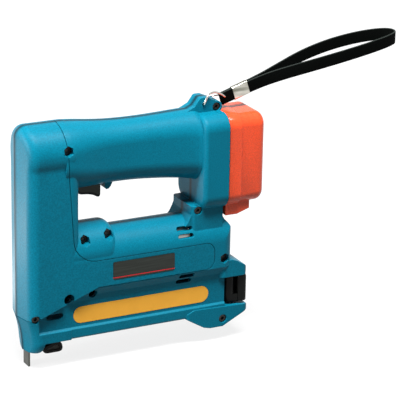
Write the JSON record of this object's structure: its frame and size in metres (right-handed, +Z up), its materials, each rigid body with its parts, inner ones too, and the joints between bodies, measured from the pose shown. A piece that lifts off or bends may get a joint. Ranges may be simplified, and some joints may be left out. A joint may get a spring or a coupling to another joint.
{
  "type": "cordless stapler",
  "caption": "Battery-powered hand stapler with a closed trigger handle, spring-driven nose, rear-loading staple magazine and wrist strap.",
  "frame": {"origin": "below the middle of the tool's length and width, at the height of the contact tip's end", "axes": "+X from the nose to the battery, +Y to the tool's right, the side away from the viewer, +Z up"},
  "size_m": [0.3684, 0.054, 0.2625],
  "materials": {
    "housing_plastic": "fine-textured satin moulding",
    "battery_plastic": "satin moulding",
    "black_plastic": "satin moulding",
    "bright_steel": "ground and plated",
    "screw_steel": "black oxide",
    "spring_steel": "drawn wire",
    "gear_steel": "hardened and oiled",
    "cast_alloy": "die cast",
    "motor_steel": "zinc plated can",
    "rubber": "moulded",
    "plate_foil": "satin printed foil, bare",
    "label_film": "glossy film, bare",
    "terminal_brass": "stamped",
    "cell_wrap": "shrink sleeve",
    "lead_sleeve": "insulated wire",
    "strap_web": "woven band",
    "bright_wire": "plated"
  },
  "bodies": {
    "housing": {"left_housing": "housing_plastic", "right_housing": "housing_plastic", "left_cover": "housing_plastic", "right_cover": "housing_plastic", "nose_foot": "black_plastic", "switch": "black_plastic", "terminal_block": "black_plastic", "nose_plate": "bright_steel", "left_guide_rod": "bright_steel", "right_guide_rod": "bright_steel", "magazine_channel": "bright_steel", "trigger_pin": "bright_steel", "through_bolts": "screw_steel", "bolt_nuts": "screw_steel", "lug_screw": "screw_steel", "neck_screw": "screw_steel", "foot_screw": "screw_steel", "front_screws": "screw_steel", "contact_spring": "spring_steel", "left_drive_spring": "spring_steel", "right_drive_spring": "spring_steel", "gear_plate": "gear_steel", "driver_guide": "cast_alloy", "spring_cap": "cast_alloy", "motor": "motor_steel", "gear_head": "motor_steel", "bumper": "rubber", "nameplate": "plate_foil", "label": "label_film", "motor_lead": "lead_sleeve"},
    "trigger": {"trigger": "black_plastic"},
    "button": {"switch_button": "black_plastic"},
    "contact": {"contact_arm": "bright_steel"},
    "crank": {"crank_gear": "gear_steel", "crank_roller": "gear_steel"},
    "intermediate": {"intermediate_gear": "gear_steel"},
    "pinion": {"drive_pinion": "gear_steel"},
    "plunger": {"plunger": "gear_steel", "driver_blade": "bright_steel"},
    "magazine": {"magazine_rail": "bright_steel", "staples": "bright_steel", "pusher_spring": "spring_steel", "magazine_cap": "black_plastic", "latch_pin": "bright_steel"},
    "pusher": {"pusher": "bright_steel"},
    "latch": {"latch_lever": "black_plastic"},
    "battery": {"battery_case": "battery_plastic", "cell_pack": "cell_wrap", "battery_terminals": "terminal_brass"},
    "strap": {"strap_ring": "bright_wire", "strap": "strap_web", "strap_ferrule": "bright_wire"}
  },
  "joints": [
    {"name": "trigger_pull", "type": "hinge", "parent": "housing", "child": "trigger", "pos_m": [-0.05475, 0, 0.1645], "axis": [0, -1, 0], "range_deg": [0, 12], "stiffness_Nm_per_rad": 0.08, "springref_deg": -51.57},
    {"name": "switch_press", "type": "slide", "parent": "housing", "child": "button", "axis": [0, 0, 1], "range_m": [0, 0.0024]},
    {"name": "contact_press", "type": "slide", "parent": "housing", "child": "contact", "axis": [0, 0, 1], "range_m": [0, 0.0132], "stiffness_N_per_m": 250, "springref_m": -0.012, "deforming": ["contact_spring"]},
    {"name": "crank_turn", "type": "hinge", "parent": "housing", "child": "crank", "pos_m": [-0.08225, 0, 0.1015], "axis": [1, 0, 0], "range_deg": [0, 180]},
    {"name": "intermediate_turn", "type": "hinge", "parent": "housing", "child": "intermediate", "pos_m": [-0.08225, 0, 0.0785], "axis": [1, 0, 0], "range_deg": [-648, 0]},
    {"name": "pinion_turn", "type": "hinge", "parent": "housing", "child": "pinion", "pos_m": [-0.03825, 0, 0.0945], "axis": [1, 0, 0], "range_deg": [0, 1944]},
    {"name": "plunger_lift", "type": "slide", "parent": "housing", "child": "plunger", "axis": [0, 0, 1], "range_m": [0, 0.03], "deforming": ["left_drive_spring", "right_drive_spring"]},
    {"name": "magazine_slide", "type": "slide", "parent": "housing", "child": "magazine", "axis": [1, 0, 0], "range_m": [0, 0.12]},
    {"name": "pusher_slide", "type": "slide", "parent": "magazine", "child": "pusher", "axis": [1, 0, 0], "range_m": [0, 0.13], "stiffness_N_per_m": 20, "springref_m": -0.3},
    {"name": "latch_tilt", "type": "hinge", "parent": "magazine", "child": "latch", "pos_m": [0.09635, 0, 0.0361], "axis": [0, 1, 0], "range_deg": [0, 15], "stiffness_Nm_per_rad": 0.04, "springref_deg": -34.38},
    {"name": "battery_slide", "type": "slide", "parent": "housing", "child": "battery", "axis": [1, 0, 0], "range_m": [0, 0.06]},
    {"name": "strap_swing", "type": "hinge", "parent": "housing", "child": "strap", "pos_m": [0.06025, 0, 0.2172], "axis": [0, -1, 0], "range_deg": [-5, 100]}
  ],
  "couplings": [
    {"joint": "switch_press", "follows": "trigger_pull", "m_per_rad": 0.01145},
    {"joint": "intermediate_turn", "follows": "crank_turn", "ratio": -3.6},
    {"joint": "pinion_turn", "follows": "crank_turn", "ratio": 10.8},
    {"joint": "plunger_lift", "follows": "crank_turn", "m_per_rad": 0.009549}
  ]
}
